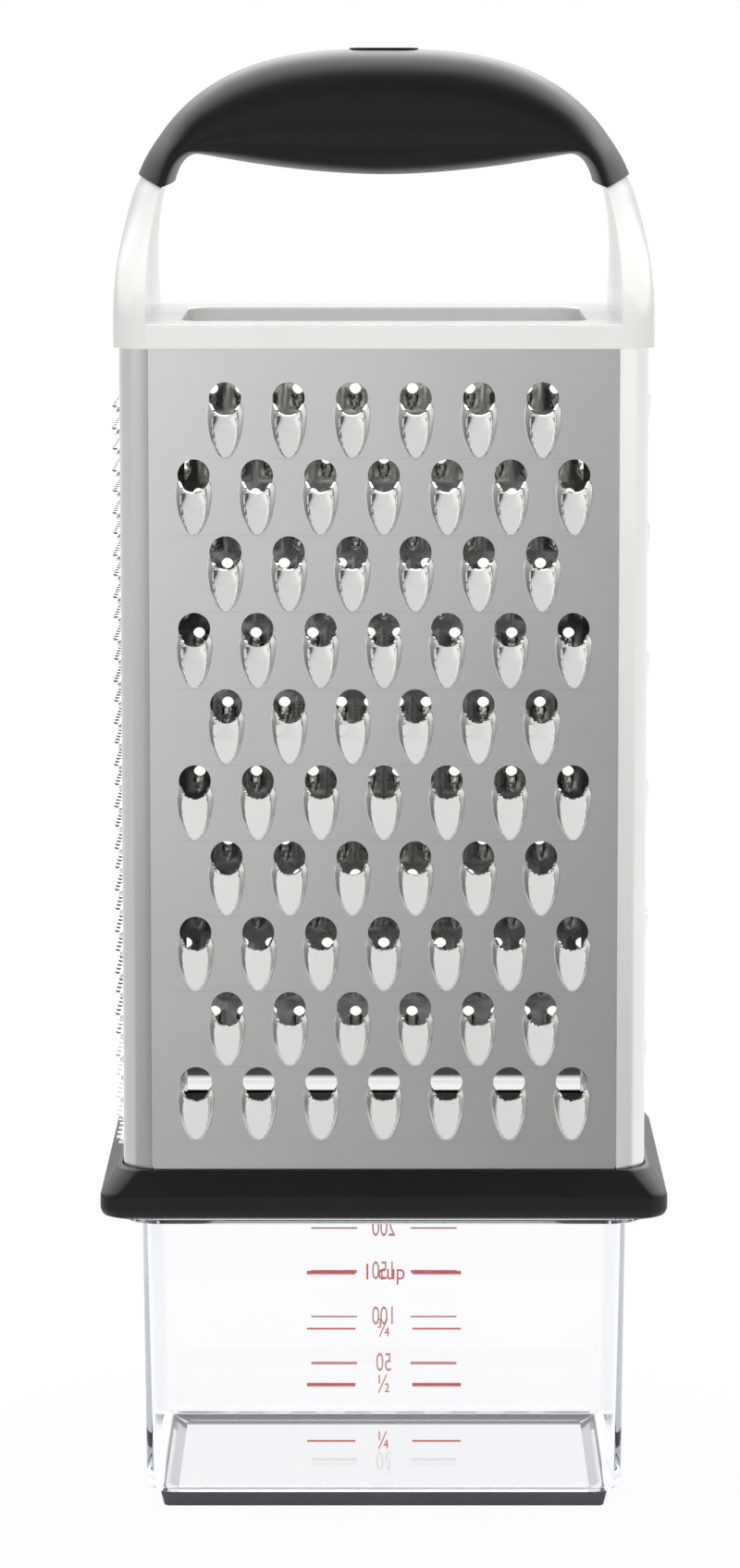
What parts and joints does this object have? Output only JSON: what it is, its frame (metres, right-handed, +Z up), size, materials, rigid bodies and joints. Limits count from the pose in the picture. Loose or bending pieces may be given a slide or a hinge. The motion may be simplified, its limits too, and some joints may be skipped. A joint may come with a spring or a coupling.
{
  "type": "box grater",
  "caption": "Upright four-sided kitchen grater with pressed steel teeth, an arched soft handle, a soft base ring and a clear measuring container that it lifts off.",
  "frame": {"origin": "on the table under the middle of the container's foot", "axes": "+Z up, -Y towards the coarse side, +X to the right of the coarse side"},
  "size_m": [0.1078, 0.0832, 0.2821],
  "materials": {
    "clear_plastic": "clear polished moulding",
    "foot_rubber": "matt soft moulding",
    "black_plastic": "satin moulding",
    "ring_rubber": "matt soft moulding",
    "panel_steel": "bright rolled stainless sheet",
    "white_plastic": "satin moulding",
    "grip_rubber": "matt soft moulding"
  },
  "bodies": {
    "tub": {"container": "clear_plastic", "container_foot": "foot_rubber"},
    "grater": {"base_frame": "black_plastic", "base_ring": "ring_rubber", "front_panel": "panel_steel", "back_panel": "panel_steel", "left_panel": "panel_steel", "right_panel": "panel_steel", "collar_liner": "white_plastic", "handle_frame": "white_plastic", "grip": "grip_rubber"}
  },
  "joints": [
    {"name": "grater_lift", "type": "slide", "parent": "tub", "child": "grater", "axis": [0, 0, 1], "range_m": [0, 0.1]}
  ]
}
